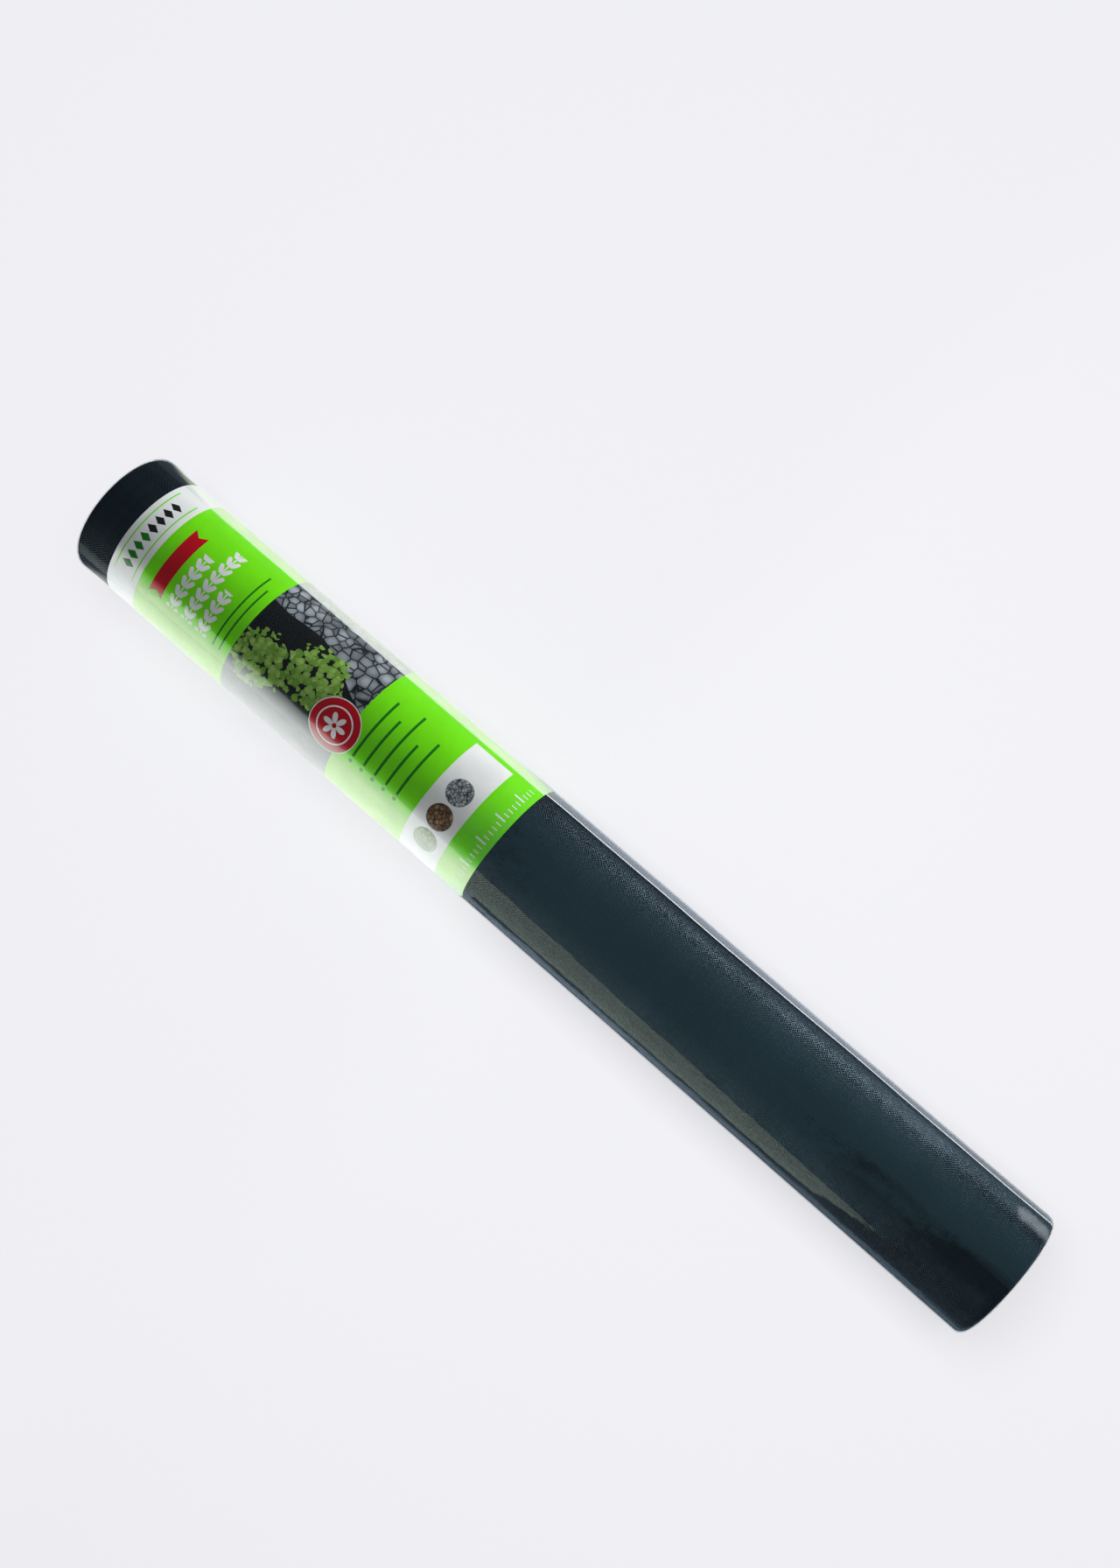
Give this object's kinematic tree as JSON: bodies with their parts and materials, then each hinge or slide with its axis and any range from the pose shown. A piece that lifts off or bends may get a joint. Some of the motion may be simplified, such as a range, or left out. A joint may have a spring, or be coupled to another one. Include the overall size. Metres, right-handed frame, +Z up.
{
  "type": "roll of weed control fabric",
  "caption": "One metre wide roll of black woven ground cover fabric on a cardboard core, with a printed label sheet round one half, in clear shrink film.",
  "frame": {"origin": "On the floor below the middle of the roll, under the flat strip that it rests on", "axes": "+X along the roll, away from its labelled end; +Y across the roll, towards the film's welded lap; +Z up"},
  "size_m": [1.002, 0.1212, 0.1207],
  "materials": {
    "cardboard": "matt spiral-wound board",
    "tape": "double-sided tape",
    "woven_fabric": "plain weave of flat blue-black polypropylene tapes",
    "label_paper": "printed paper with a soft sheen",
    "shrink_film": "clear glossy film"
  },
  "bodies": {
    "root": {"core_tube": "cardboard", "core_tape": "tape", "fabric_winding": "woven_fabric", "label_sheet": "label_paper", "shrink_film": "shrink_film"}
  },
  "joints": []
}
